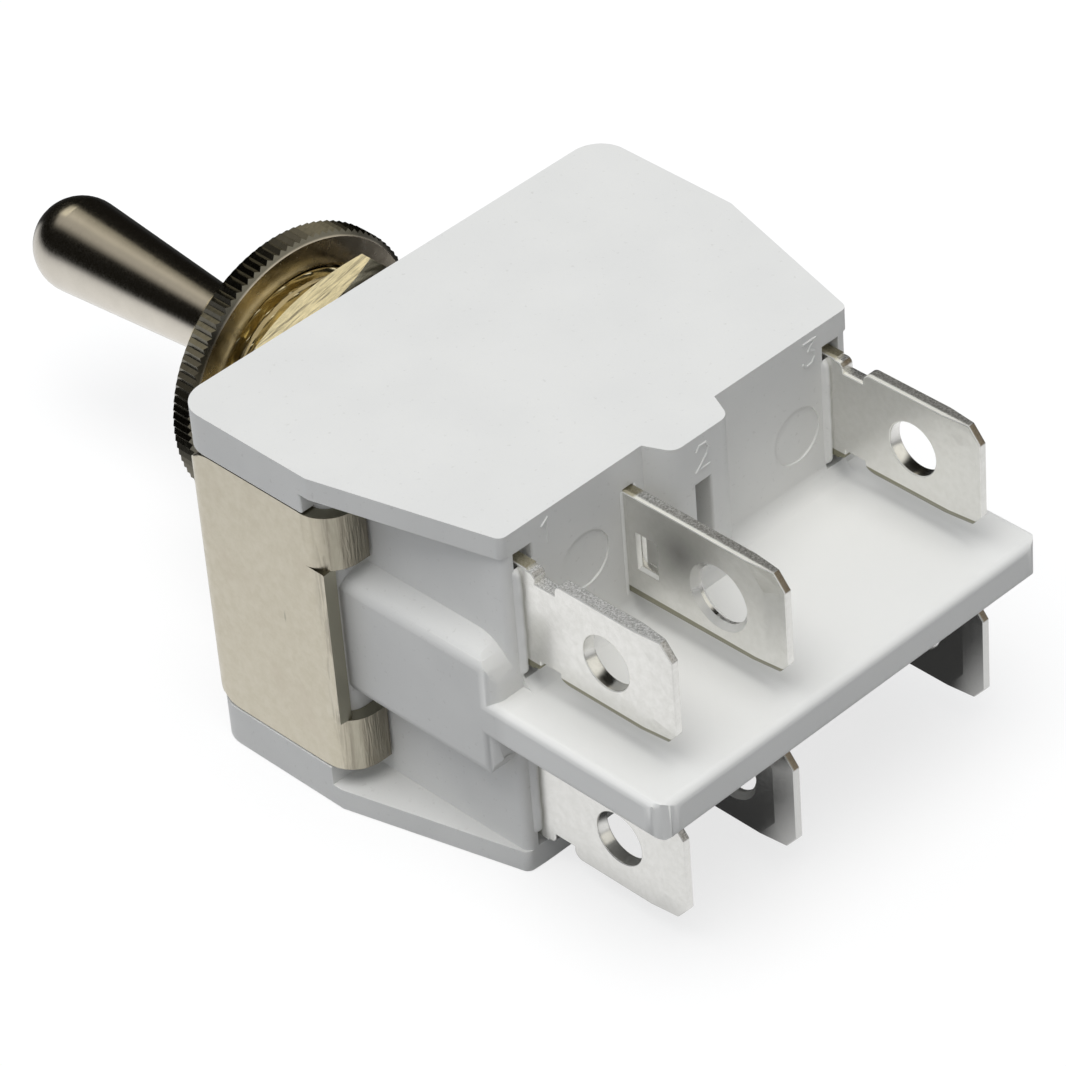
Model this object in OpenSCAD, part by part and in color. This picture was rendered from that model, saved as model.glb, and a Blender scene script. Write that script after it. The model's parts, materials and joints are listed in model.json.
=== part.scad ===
// Panel toggle switch, two poles, three positions with a centre rest, six push-on tabs.
// Row frame: origin on the bushing axis at the bracket's front face; +Y out along the bushing,
// +X along the row of terminals (the way the lever throws), +Z square to the broad housing face.

/* [Housing] */
// Thickness across the two broad faces
body_thickness = 21.6; // [20:0.1:26]
// Width across the flanges
body_width = 30.3; // [29.4:0.1:34]
// How far each side draws in from the flanges to the terminal end
end_inset = 2.85; // [1.8:0.05:2.95]
// Depth of the straight part of the flanges
kink_depth = 9.7; // [9.2:0.1:12]
// Depth from the bracket face to the terminal end
body_depth = 20.45; // [20:0.05:24]
// Thickness of each broad flange
flange_thickness = 1.35; // [1:0.05:1.8]
// Thickness of the flange pads beside the bracket
pad_thickness = 2.5; // [2.2:0.05:3]
// Corner radius of the flanges at the bracket end
back_corner = 1.8; // [0.5:0.1:2.5]
// Corner radius at the terminal end
end_corner = 0.5; // [0.3:0.05:1.2]
// Thickness of the side walls beside the contacts
side_wall = 0.8; // [0.7:0.05:1]
// Thickness of the terminal end wall
end_wall = 1.5; // [1.3:0.05:2]
// Room in the housing past each end of the carrier
carrier_room = 0.6; // [0.4:0.05:0.8]

/* [Housing bump, shelf and side lugs] */
// Width of the bump at its root
bump_root = 5.2; // [4.6:0.1:5.4]
// Width of the bump at its crest
bump_crest = 3.8; // [3:0.1:4.4]
// Height of the bump over the end face
bump_height = 1.6; // [1:0.1:2.2]
// Radius of the bump's crest corners
bump_corner = 0.8; // [0.3:0.1:1]
// Width of the spare slot in the bump
spare_width = 1; // [0.8:0.1:1.2]
// Height of the spare slot
spare_height = 4.3; // [3:0.1:5]
// Depth of the spare slot
spare_depth = 2; // [1:0.1:2.4]
// How far the shelf and the lugs stand out past the side walls
shelf_overhang = 1.55; // [1:0.05:1.8]
// Reach of the shelf past the end face
shelf_reach = 11.6; // [11.2:0.1:14]
// Thickness of the shelf and of the partition
shelf_thickness = 2.3; // [1.8:0.1:2.5]
// Radius of the shelf's front corners
shelf_corner = 1.3; // [0.8:0.1:3]
// Radius along the shelf's edges
shelf_edge = 0.5; // [0.2:0.05:0.8]
// Radius of the fillet where the shelf leaves the end face
shelf_fillet = 0.9; // [0.4:0.1:1]
// Height of each side lug at its root
lug_height = 8.4; // [7:0.1:9.4]
// Drop of the lug's rounded edge from root to face
lug_slope = 0.6; // [0.3:0.05:1.2]
// Radius along the lug's long edges
lug_edge = 0.9; // [0.5:0.05:1.1]
// Radius of the lug's end, seen from the side
lug_end = 2.3; // [1:0.1:3]
// Radius of the lug's end, seen from above
lug_nose = 0.9; // [0.5:0.05:1.2]
// Radius of the round ejector marks
mark_radius = 1.65; // [1:0.05:1.8]
// Distance of the left ejector marks from the middle
mark_left = 6.85; // [6.2:0.05:7.2]
// Depth of the left ejector marks below the broad face
left_drop = 4.55; // [4.2:0.05:5.6]
// Distance of the right ejector marks from the middle
mark_right = 8.3; // [6.2:0.05:8.5]
// Depth of the right ejector marks below the broad face
right_drop = 5.85; // [4.2:0.05:6.2]
// Depth of the ejector marks
mark_depth = 0.12; // [0.05:0.01:0.3]

/* [Bracket] */
// Sheet thickness
sheet = 0.8; // [0.6:0.05:0.9]
// Length of the side plates between the hooked tabs
plate_length = 10.2; // [9.8:0.1:10.6]
// Height of each hooked tab
tab_height = 3.3; // [2.6:0.1:3.6]
// Inner bend radius of the hooked tabs
tab_bend = 1.1; // [0.8:0.05:1.3]
// Inner bend radius at the bracket's shoulders
shoulder_bend = 0.5; // [0.3:0.1:0.9]
// Radius cut from the corners of the side plates
plate_corner = 1.3; // [0.5:0.1:1.8]

/* [Bushing and nuts] */
// Radius over the thread
thread_radius = 6; // [5.8:0.05:6.2]
// Length of the threaded part
bushing_length = 11.8; // [11:0.1:14]
// Chamfer at the thread's end
thread_chamfer = 0.6; // [0.3:0.1:0.9]
// Radius of the neck held in the bracket
neck_hold = 5; // [4.8:0.1:5.3]
// Radius of the rolled flange behind the bracket
roll_radius = 6.3; // [6:0.1:7]
// Thickness of the rolled flange
roll_thickness = 0.9; // [0.6:0.1:1.1]
// Width of the back nut across its flats
hex_flats = 14; // [13.6:0.1:15.5]
// Thickness of the back nut
hex_thickness = 2; // [1.6:0.1:2.4]
// Front face of the back nut from the bracket
hex_front = 5.9; // [5.4:0.1:6.4]
// Turn of the back nut about the bushing
hex_turn = 12; // [0:1:59]
// Radius over the knurl of the front nut
knurl_radius = 8.2; // [7.8:0.1:9]
// Thickness of the front nut
knurl_thickness = 1.7; // [1.4:0.1:2.2]
// Back face of the front nut from the bracket
knurl_back = 7.95; // [7.5:0.05:8.6]
// Teeth round the knurl
knurl_teeth = 104; // [60:1:120]
// Depth of the knurl
knurl_depth = 0.16; // [0.1:0.01:0.3]

/* [Lever] */
// Reach of the lever tip from the bracket
lever_reach = 28.9; // [26:0.1:32]
// Radius of the round tip
tip_radius = 2.78; // [2.4:0.02:3.2]
// Radius of the lever's neck
lever_neck = 1.4; // [1.2:0.05:1.5]
// Where the taper starts, from the bracket
taper_start = 8; // [7:0.1:9]
// Height of the pivot over the bracket face
pivot_height = 2; // [1.8:0.05:2.3]
// Radius of the pivot ball
ball_radius = 2.5; // [2.3:0.05:2.7]
// Radius of the pivot pin
pin_radius = 0.75; // [0.6:0.05:0.9]
// Length of the pivot pin
pin_length = 9; // [8.4:0.1:9.2]
// Radius of the tail inside the carrier
tail_radius = 1.28; // [1.1:0.02:1.4]
// Throw to each side, degrees
lever_throw = 13; // [10:0.5:13.5]

/* [Carrier, plungers and springs] */
// Width of the carrier
carrier_width = 5.2; // [4.6:0.1:6]
// Wall of the carrier past each plunger
carrier_end = 0.5; // [0.4:0.05:0.8]
// Front face of the carrier below the bracket
carrier_front = 3.6; // [3.3:0.1:4]
// Depth of the carrier
carrier_depth = 6; // [5.4:0.1:6.2]
// Wall of the carrier over each spring
carrier_roof = 1; // [0.8:0.05:1.3]
// Radius of the plunger's body
plunger_radius = 1.6; // [1.4:0.05:1.7]
// Radius of the plunger's round tip
plunger_tip = 1.2; // [1:0.05:1.3]
// Length of the plunger's neck, from the centre of its tip
plunger_neck = 1.2; // [1:0.05:1.5]
// Length of the plunger's body
plunger_body = 5.5; // [5:0.1:5.8]
// Floor of the plunger under its spring
plunger_floor = 1; // [0.8:0.05:1.3]
// Radius of the spring over its wire
spring_radius = 0.95; // [0.8:0.01:1]
// Radius of the spring wire
spring_wire = 0.13; // [0.1:0.01:0.16]
// Turns of each spring
spring_turns = 9; // [6:1:11]

/* [Rockers and contacts] */
// Thickness of the rocker strip
rocker_sheet = 0.6; // [0.5:0.05:0.7]
// Width of the rocker
rocker_width = 4.4; // [4:0.1:4.8]
// Length of the rocker past the centre of each contact
rocker_past = 1.5; // [1.4:0.05:1.6]
// Distance of the contacts in from the outer tabs
contact_inset = 3.5; // [3.4:0.05:3.8]
// Radius of the fixed contact heads
fixed_contact = 1.5; // [1.3:0.05:1.7]
// Radius of the moving contact heads
moving_contact = 1.4; // [1.2:0.05:1.6]
// Thickness of each contact head
contact_head = 0.6; // [0.4:0.05:0.7]
// Crown radius of the moving contacts
contact_crown = 4; // [3:0.1:6]
// Open gap of each contact at rest
contact_gap = 0.93; // [0.8:0.01:1.1]
// Height of the rocker's pivot over the terminal feet
rocker_height = 2.3; // [2.2:0.05:2.5]
// Radius of the ridge the rocker turns on
ridge_radius = 0.4; // [0.35:0.01:0.45]
// Tilt of the rocker at full throw, degrees
rocker_tilt = 6.8; // [5:0.1:6.8]

/* [Terminals] */
// Tab width
tab_width = 6.3; // [4.8:0.1:6.5]
// Tab thickness
tab_sheet = 0.8; // [0.6:0.05:0.9]
// Reach of the outer tab tips from the bracket
tab_reach = 30.65; // [30.2:0.05:32]
// Extra reach of the middle tabs
middle_extra = 0.5; // [0:0.1:0.8]
// Length of the outer tabs from their rear corners
tab_length = 7.7; // [7.5:0.05:8.4]
// Distance of the middle tabs from the middle
middle_offset = 3.68; // [3.5:0.02:3.9]
// Distance of the tab centres from the broad faces
tab_inset = 5.15; // [5:0.05:5.3]
// Length of the chamfer at the tab's tip
chamfer_length = 0.75; // [0.5:0.05:1.6]
// Height of the chamfer at the tab's tip
chamfer_height = 0.9; // [0.6:0.05:1.5]
// Tip thickness left by the coined bevel
bevel_tip = 0.44; // [0.3:0.02:0.6]
// Width of the coined bevel
bevel_width = 1.3; // [0.8:0.1:1.6]
// Radius of the hole in the outer tabs
hole_radius = 1.55; // [1.2:0.05:1.7]
// Holes of the tabs back from the tip
hole_back = 4.4; // [4:0.1:5.2]
// Radius of the hole in the middle tabs
middle_hole = 1.65; // [1.3:0.05:1.8]
// Radius of the dished rim round the middle hole
middle_dish = 1.95; // [1.7:0.05:2.1]
// Drop of the middle tab's hole and window below its centre line
middle_drop = 0.2; // [0:0.05:0.3]
// Height of the terminal's neck
neck_height = 4.9; // [4:0.1:5.4]
// Height of the terminal's shoulder
shoulder_height = 7.4; // [6.8:0.1:7.5]
// How far the shoulder stands proud of the end face
shoulder_proud = 0.6; // [0.4:0.05:0.9]
// Height of the ledge between shoulder and neck
ledge_height = 6.1; // [5.6:0.1:6.6]
// How far the ledge stands proud of the shoulder
ledge_proud = 0.55; // [0.3:0.05:0.8]
// Radius of the ledge's corners
ledge_corner = 0.35; // [0.1:0.05:0.4]
// Radius of the tab's rear corners
rear_corner = 0.5; // [0.2:0.05:0.8]
// Window of the middle tabs from the end face
window_back = 0.9; // [0.6:0.05:1.2]
// Length of the window in the middle tabs
window_length = 1.1; // [0.8:0.05:1.3]
// Height of the window in the middle tabs
window_height = 2; // [1.6:0.1:2.8]
// Bevel round the window and the middle hole
window_bevel = 0.2; // [0.1:0.02:0.3]

/* [Clearances] */
// Nut bores over the thread
thread_gap = 0.05; // [0.02:0.01:0.09]
// Lever on its pivot pin
pin_gap = 0.04; // [0.02:0.01:0.08]
// Pivot ball in its seat
ball_gap = 0.06; // [0.03:0.01:0.09]
// Plungers in the carrier
plunger_gap = 0.05; // [0.02:0.01:0.09]
// Rockers on their ridges
ridge_gap = 0.05; // [0.02:0.01:0.09]
// Plunger tips over the rockers
tip_gap = 0.03; // [0.01:0.01:0.06]
// Pieces that seat against each other
seat_gap = 0.02; // [0.01:0.01:0.04]
// Terminals in the housing's slots
slot_gap = 0.05; // [0.02:0.01:0.1]
// Bracket between the flanges' pads
bracket_gap = 0.1; // [0.05:0.01:0.2]

/* [Hidden] */
$fn = 48;
eps = 0.01;
// Longer than the part, for cutting tools
far = 80;
half_z = body_thickness/2;
half_w = body_width/2;
half_e = half_w - end_inset;
flange_in = half_z - flange_thickness;
pad_in = half_z - pad_thickness;
half_b = pad_in - bracket_gap;
wall_x = half_e - 0.05;
cavity_x = wall_x - side_wall;
rim = sheet + seat_gap;
core_x = half_w - 0.05 - sheet - 0.05;
plate_x = half_w - 0.05;
step_y = kink_depth + 0.25;
hook_y = step_y - tab_bend + 0.05;
floor_y = body_depth - end_wall;
foot_top = floor_y - seat_gap - tab_sheet;
cavity_z = flange_in - 0.05;
room_y = step_y + 0.45;
lug_x = half_e + shelf_overhang;
tip_y = lever_reach - tip_radius;
outer_x = cavity_x - slot_gap - tab_sheet/2;
contact_x = outer_x - contact_inset;
rocker_half = contact_x + rocker_past;
pole_z = half_z - tab_inset;
rocker_z = (shelf_thickness/2 + cavity_z)/2;
carrier_half = rocker_z + plunger_radius + carrier_end;
foot_half = 2.75;
saddle_half = 3.1;
coil_gap = 0.01;
knee_past = 3;
// Rocker geometry: pivot line, and the trough radius that keeps the swinging tip in touch
turn_y = -foot_top + rocker_height;
strip_low = turn_y + ridge_radius/2;
strip_top = strip_low + rocker_sheet;
ball_y = strip_top + tip_gap + plunger_tip;
arm = pivot_height - ball_y;
fall = pivot_height - turn_y;
end_raw = [arm*sin(lever_throw), fall - arm*cos(lever_throw)];
end_in = [end_raw[0]*cos(rocker_tilt) - end_raw[1]*sin(rocker_tilt),
          end_raw[0]*sin(rocker_tilt) + end_raw[1]*cos(rocker_tilt)];
rise = end_in[1] - (fall - arm);
trough = (end_in[0]*end_in[0] + rise*rise)/(2*rise) + plunger_tip + tip_gap;
trough_y = strip_top + trough;
knee = asin(end_in[0]/(trough - plunger_tip - tip_gap)) + knee_past;
fixed_top = -foot_top + contact_head;
pad_low = fixed_top + contact_gap + contact_head;

// A flat outline in X and Y, raised from z0 to z1
module along_z(z0, z1) translate([0, 0, z0]) linear_extrude(z1 - z0) children();
// A flat outline in X and Z, raised from y0 to y1
module along_y(y0, y1) translate([0, y1, 0]) rotate([90, 0, 0]) linear_extrude(y1 - y0) children();
// A flat outline in Y and Z, raised from x0 to x1
module along_x(x0, x1) translate([x0, 0, 0]) rotate([90, 0, 90]) linear_extrude(x1 - x0) children();
// A half outline in radius and Y, turned about the bushing axis
module turned() rotate([-90, 0, 0]) rotate_extrude($fn = 64) children();
module box(a, b) translate(a) cube(b - a);
module both_x() { children(); mirror([1, 0, 0]) children(); }
module both_z() { children(); mirror([0, 0, 1]) children(); }

// What a rounding of radius r takes off the corner v, whose edges run along unit vectors a and b
module corner_cut(v, a, b, r) {
  half = acos(a*b)/2;
  reach = r/tan(half);
  mid = (a + b)/norm(a + b);
  c = v + mid*(r/sin(half));
  difference() {
    polygon([v - mid*0.2, v + a*reach, c, v + b*reach]);
    translate(c) circle(r, $fn = 48);
  }
}

// Plan outline of the broad flanges
module flange_outline() {
  slant = [half_w - half_e, body_depth - kink_depth];
  along = slant/norm(slant);
  difference() {
    polygon([[-half_e, -body_depth], [half_e, -body_depth], [half_w, -kink_depth],
      [half_w, -seat_gap], [-half_w, -seat_gap], [-half_w, -kink_depth]]);
    for (s = [-1, 1]) {
      corner_cut([s*half_w, -seat_gap], [-s, 0], [0, -1], back_corner);
      corner_cut([s*half_e, -body_depth], [-s, 0], [s*along[0], along[1]], end_corner);
    }
  }
  bump_outline();
}

// Plan outline of the bump that carries the spare slot
module bump_outline() {
  lean = [(bump_root - bump_crest)/2, bump_height];
  up = lean/norm(lean);
  difference() {
    polygon([[-bump_root/2, -body_depth + 0.3], [-bump_root/2, -body_depth],
      [-bump_crest/2, -body_depth - bump_height], [bump_crest/2, -body_depth - bump_height],
      [bump_root/2, -body_depth], [bump_root/2, -body_depth + 0.3]]);
    for (s = [-1, 1])
      corner_cut([s*bump_crest/2, -body_depth - bump_height], [-s, 0], [s*up[0], up[1]], bump_corner);
  }
}

// Plan outline of the body between the flanges, around the contacts
module front_outline() {
  difference() {
    translate([-wall_x, -body_depth]) square([2*wall_x, body_depth - kink_depth + 0.8]);
    for (s = [-1, 1]) corner_cut([s*wall_x, -body_depth], [-s, 0], [0, 1], end_corner);
  }
  bump_outline();
}

// Plan outline of the body inside the bracket, its steps rounded for the hooked tabs
module back_outline() {
  difference() {
    translate([-core_x, -step_y]) square([2*core_x, step_y - rim]);
    for (s = [-1, 1]) {
      corner_cut([s*core_x, -step_y], [-s, 0], [0, 1], tab_bend - 0.1);
      corner_cut([s*core_x, -rim], [-s, 0], [0, -1], shoulder_bend);
    }
  }
}

// Section of a side lug in X and Z
module lug_section() {
  face = lug_height/2 - lug_slope;
  run = [lug_x - wall_x, lug_slope];
  down = -run/norm(run);
  difference() {
    polygon([[wall_x - 0.6, -lug_height/2], [wall_x, -lug_height/2], [lug_x, -face], [lug_x, face],
      [wall_x, lug_height/2], [wall_x - 0.6, lug_height/2]]);
    for (s = [-1, 1]) corner_cut([lug_x, s*face], [0, -s], [down[0], -s*down[1]], lug_edge);
  }
}

// Side view of a lug in Y and Z, its end rounded
module lug_side() {
  difference() {
    translate([-body_depth, -lug_height/2]) square([body_depth - step_y + 0.5, lug_height]);
    for (s = [-1, 1]) corner_cut([-body_depth, s*lug_height/2], [1, 0], [0, -s], lug_end);
  }
}

// Plan of a lug, its outer corner rounded
module lug_plan() {
  difference() {
    translate([0, -body_depth]) square([lug_x, body_depth]);
    corner_cut([lug_x, -body_depth], [-1, 0], [0, 1], lug_nose);
  }
}

// Plan of the shelf
module shelf_outline() {
  front = body_depth + shelf_reach;
  difference() {
    translate([-lug_x, -front]) square([2*lug_x, front - body_depth + lug_nose]);
    for (s = [-1, 1]) corner_cut([s*lug_x, -front], [-s, 0], [0, 1], shelf_corner);
  }
}

// Section of the shelf, reaching u from its middle or its root, with rounded edges
module shelf_section(u, ends) {
  difference() {
    translate([ends*u, -shelf_thickness/2]) square([u - ends*u, shelf_thickness]);
    for (s = [-1, 1]) {
      corner_cut([u, s*shelf_thickness/2], [-1, 0], [0, -s], shelf_edge);
      if (ends < 0) corner_cut([-u, s*shelf_thickness/2], [1, 0], [0, -s], shelf_edge);
    }
  }
}

// Fillet between shelf and end face, in Y and Z
module fillet_section() {
  r = shelf_fillet;
  difference() {
    translate([-body_depth - r*0.93, 0]) square([r*0.93 + 0.4, shelf_thickness/2 + r*0.93]);
    translate([-body_depth - r, shelf_thickness/2 + r]) circle(r, $fn = 48);
  }
}

module housing() {
  color([0.86, 0.86, 0.85]) difference() {
    union() {
      both_z() along_z(flange_in, half_z) flange_outline();
      both_z() along_z(pad_in, flange_in + 0.1) intersection() {
        flange_outline();
        translate([-half_w - 1, -kink_depth + 0.6]) square([2*half_w + 2, kink_depth]);
      }
      along_z(-flange_in - 0.1, flange_in + 0.1) front_outline();
      along_z(-pad_in - 0.1, pad_in + 0.1) back_outline();
      both_x() intersection() {
        along_y(-body_depth, -step_y + 0.5) lug_section();
        along_x(0, lug_x) lug_side();
        along_z(-half_z, half_z) lug_plan();
      }
      intersection() {
        along_z(-shelf_thickness/2, shelf_thickness/2) shelf_outline();
        along_y(-far, far) shelf_section(lug_x, -1);
        along_x(-far, far) mirror([1, 0, 0]) shelf_section(body_depth + shelf_reach, 0);
      }
      both_z() along_x(-wall_x + 0.6, wall_x - 0.6) fillet_section();
    }
    // Pole chambers, and the room above them for the carrier
    both_z() box([-cavity_x, -floor_y, shelf_thickness/2], [cavity_x, -room_y + 0.1, cavity_z]);
    box([-cavity_x, -room_y, -carrier_half - carrier_room],
        [cavity_x, -rim - 1.2, carrier_half + carrier_room]);
    box([-cavity_x, -rim - 1.3, 0.2 - half_b], [cavity_x, 1, half_b - 0.2]);
    both_z() {
      // Slots and shoulder pockets of the outer terminals
      both_x() {
        box([outer_x - tab_sheet/2 - slot_gap, -body_depth - 1, pole_z - foot_half - slot_gap],
            [outer_x + tab_sheet/2 + slot_gap, -floor_y + 1, pole_z + foot_half + slot_gap]);
        box([outer_x - tab_sheet/2 - 0.25, -body_depth - 1, pole_z - shoulder_height/2 - 0.3],
            [outer_x + tab_sheet/2 + 0.15, -body_depth + 0.75, pole_z + shoulder_height/2 + 0.05]);
      }
      // Ejector marks
      along_y(-body_depth - 1, -body_depth + mark_depth) {
        translate([-mark_left, half_z - left_drop]) circle(mark_radius, $fn = 40);
        translate([mark_right, half_z - right_drop]) circle(mark_radius, $fn = 40);
      }
      // Slot of the middle terminal, and the spare slot in the bump
      box([-middle_offset - tab_sheet/2 - slot_gap, -body_depth - 1, pole_z - tab_width/2 - slot_gap],
          [-middle_offset + tab_sheet/2 + slot_gap, -floor_y + 1, pole_z + tab_width/2 + slot_gap]);
      box([-spare_width/2, -body_depth - bump_height - 1, pole_z - spare_height/2],
          [spare_width/2, -body_depth - bump_height + spare_depth, pole_z + spare_height/2]);
    }
  }
}

// Plan of the bracket: the front plate, one shoulder and one side plate down to length d
module leg_outline(d) {
  outer = shoulder_bend + sheet;
  difference() {
    union() {
      translate([0, -sheet]) square([plate_x, sheet]);
      translate([plate_x - sheet, -d]) square([sheet, d]);
      difference() {
        translate([plate_x - outer, -outer]) square(outer);
        translate([plate_x - outer, -outer]) circle(shoulder_bend, $fn = 32);
      }
    }
    corner_cut([plate_x, 0], [-1, 0], [0, -1], outer);
  }
}

// Plan of one hooked tab: a quarter turn inward, then a short straight end
module hook_outline() {
  outer = tab_bend + sheet;
  translate([plate_x - outer, -hook_y]) difference() {
    intersection() {
      circle(outer, $fn = 48);
      translate([0, -outer - 1]) square([outer + 1, outer + 1]);
    }
    circle(tab_bend, $fn = 40);
  }
  translate([wall_x + 0.15, -hook_y - outer]) square([plate_x - outer - wall_x - 0.15, sheet]);
}

module bracket() {
  half = half_b;
  color([0.75, 0.72, 0.66]) difference() {
    both_x() union() {
      along_z(-half + tab_height, half - tab_height) leg_outline(plate_length);
      both_z() along_z(half - tab_height - eps, half) {
        leg_outline(hook_y);
        hook_outline();
      }
    }
    rotate([90, 0, 0]) cylinder(r = neck_hold + seat_gap, h = 4, center = true, $fn = 64);
    both_x() both_z() along_x(plate_x - shoulder_bend - sheet - 0.4, plate_x + 1)
      corner_cut([0, half], [-1, 0], [0, -1], plate_corner + 0.9);
  }
}

module bushing() {
  seat = ball_radius + ball_gap;
  lip = ball_radius*0.86;
  back = -rim - roll_thickness;
  lip_y = pivot_height + sqrt(seat*seat - lip*lip);
  mouth = (bushing_length - pivot_height)*tan(lever_throw) + 1.9;
  color([0.8, 0.76, 0.62]) difference() {
    turned() polygon([[0, back], [roll_radius - 0.4, back], [roll_radius, back + 0.4],
      [roll_radius, -rim], [neck_hold, -rim], [neck_hold, 0], [thread_radius, 0],
      [thread_radius, bushing_length - thread_chamfer],
      [thread_radius - thread_chamfer, bushing_length], [0, bushing_length]]);
    // Bore: wide below the ball's seat, a spherical seat, then a mouth that lets the lever swing
    turned() polygon([[0, -4], [seat, -4], [seat, pivot_height], [0, pivot_height]]);
    translate([0, pivot_height, 0]) sphere(seat, $fn = 64);
    turned() polygon([[0, pivot_height + 1], [lip, pivot_height + 1], [lip, lip_y],
      [mouth, bushing_length + eps], [0, bushing_length + eps]]);
    // Slots that hold the ends of the pivot pin
    both_z() along_z(1, pin_length/2 + 0.05) {
      translate([0, pivot_height]) circle(pin_radius + seat_gap, $fn = 40);
      translate([-pin_radius - seat_gap, -4]) square([2*(pin_radius + seat_gap), pivot_height + 4]);
    }
  }
}

module back_nut() {
  corner = hex_flats/sqrt(3);
  soft = hex_flats/2 - 0.1;
  bite = (corner - soft)*tan(30);
  low = hex_front - hex_thickness;
  bore = thread_radius + thread_gap;
  color([0.8, 0.77, 0.68]) difference() {
    intersection() {
      along_y(low, hex_front) rotate(hex_turn) circle(corner, $fn = 6);
      turned() polygon([[0, low], [soft, low], [corner + 0.001, low + bite],
        [corner + 0.001, hex_front - bite], [soft, hex_front], [0, hex_front]]);
    }
    turned() polygon([[0, low - 1], [bore + 0.5, low - 0.2], [bore, low + 0.3], [bore, hex_front - 0.3],
      [bore + 0.5, hex_front + 0.2], [0, hex_front + 1]]);
  }
}

module front_nut() {
  top = knurl_back + knurl_thickness;
  bore = thread_radius + thread_gap;
  root = knurl_radius - knurl_depth;
  edge = 0.25;
  color([0.62, 0.6, 0.55]) difference() {
    intersection() {
      along_y(knurl_back, top) polygon([for (i = [0 : 2*knurl_teeth - 1]) let (a = 180*i/knurl_teeth,
        r = i % 2 == 0 ? knurl_radius : root) [r*cos(a), r*sin(a)]]);
      turned() polygon([[0, knurl_back], [knurl_radius - edge - 0.1, knurl_back],
        [knurl_radius + 0.1, knurl_back + edge + 0.1], [knurl_radius + 0.1, top - edge - 0.1],
        [knurl_radius - edge - 0.1, top], [0, top]]);
    }
    turned() polygon([[0, knurl_back - 1], [bore + 0.5, knurl_back - 0.2], [bore, knurl_back + 0.3],
      [bore, top - 0.3], [bore + 0.5, top + 0.2], [0, top + 1]]);
  }
}

module lever() {
  s = (tip_radius - lever_neck)/(tip_y - taper_start);
  c = cos(atan(s));
  color([0.66, 0.65, 0.62]) difference() {
    turned() difference() {
      union() {
        translate([0, tip_y]) circle(tip_radius, $fn = 64);
        polygon([[0, taper_start], [lever_neck, taper_start],
          [tip_radius*c, tip_y - tip_radius*sin(atan(s))], [0, tip_y]]);
        translate([0, pivot_height]) square([lever_neck, taper_start - pivot_height + eps]);
        translate([0, pivot_height]) circle(ball_radius, $fn = 64);
        translate([0, -carrier_front - carrier_depth + 1])
          square([tail_radius, pivot_height + carrier_front + carrier_depth - 1]);
      }
      translate([-far, -far]) square([far, 2*far]);
    }
    translate([0, pivot_height, 0])
      cylinder(r = pin_radius + pin_gap, h = 8, center = true, $fn = 40);
  }
}

module pivot_pin() {
  color([0.7, 0.7, 0.7]) translate([0, pivot_height, 0])
    cylinder(r = pin_radius, h = pin_length, center = true, $fn = 40);
}

module carrier() {
  back = carrier_front + carrier_depth;
  color([0.2, 0.2, 0.22]) difference() {
    along_z(-carrier_half, carrier_half) difference() {
      translate([-carrier_width/2, -back]) square([carrier_width, carrier_depth]);
      for (s = [-1, 1]) {
        corner_cut([s*carrier_width/2, -back], [-s, 0], [0, 1], 0.6);
        corner_cut([s*carrier_width/2, -carrier_front], [-s, 0], [0, -1], 0.8);
      }
    }
    translate([0, -carrier_front + 1, 0]) rotate([90, 0, 0])
      cylinder(r = tail_radius + seat_gap, h = carrier_depth + 0.1, $fn = 40);
    both_z() translate([0, -carrier_front - carrier_roof, rocker_z]) rotate([90, 0, 0])
      cylinder(r = plunger_radius + plunger_gap, h = carrier_depth, $fn = 48);
  }
}

module plunger() {
  waist = ball_y + plunger_neck;
  color([0.82, 0.8, 0.74]) translate([0, 0, rocker_z]) difference() {
    turned() difference() {
      union() {
        translate([0, ball_y]) circle(plunger_tip, $fn = 48);
        translate([0, ball_y]) square([plunger_tip, plunger_neck + 0.1]);
        polygon([[0, waist - eps], [plunger_tip, waist - eps], [plunger_radius, waist + 0.3],
          [plunger_radius, waist + plunger_body], [0, waist + plunger_body]]);
      }
      translate([-far, -far]) square([far, 2*far]);
    }
    translate([0, waist + plunger_floor, 0]) rotate([-90, 0, 0])
      cylinder(r = spring_radius + 0.1, h = far, $fn = 40);
  }
}

// Wire wound about Y, its ends lying on the two seats
module spring() {
  low = ball_y + plunger_neck + plunger_floor + spring_wire + coil_gap;
  high = -carrier_front - carrier_roof - spring_wire - coil_gap;
  ring = 14;
  side = 6;
  steps = spring_turns*ring;
  mean = spring_radius - spring_wire;
  points = [for (i = [0 : steps], j = [0 : side - 1])
    let (a = 360*i/ring, w = 360*j/side, y = low + (high - low)*i/steps, r = mean + spring_wire*cos(w))
    [r*cos(a), y + spring_wire*sin(w), r*sin(a)]];
  skin = [for (i = [0 : steps - 1], j = [0 : side - 1]) let (k = (j + 1) % side)
    [i*side + j, (i + 1)*side + j, (i + 1)*side + k, i*side + k]];
  color([0.72, 0.72, 0.72]) translate([0, 0, rocker_z])
    polyhedron(points, concat([[for (j = [0 : side - 1]) j]],
      [[for (j = [side - 1 : -1 : 0]) steps*side + j]], skin), convexity = 10);
}

// Side view of the rocker's round trough, relieved where it sits on the ridge
module trough_outline() {
  difference() {
    translate([0, trough_y]) difference() {
      intersection() {
        circle(trough + rocker_sheet, $fn = 96);
        polygon([[0, 0], far*[-sin(knee), -cos(knee)], far*[sin(knee), -cos(knee)]]);
      }
      circle(trough, $fn = 96);
    }
    translate([0, turn_y]) circle(ridge_radius + ridge_gap, $fn = 40);
  }
}

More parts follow.
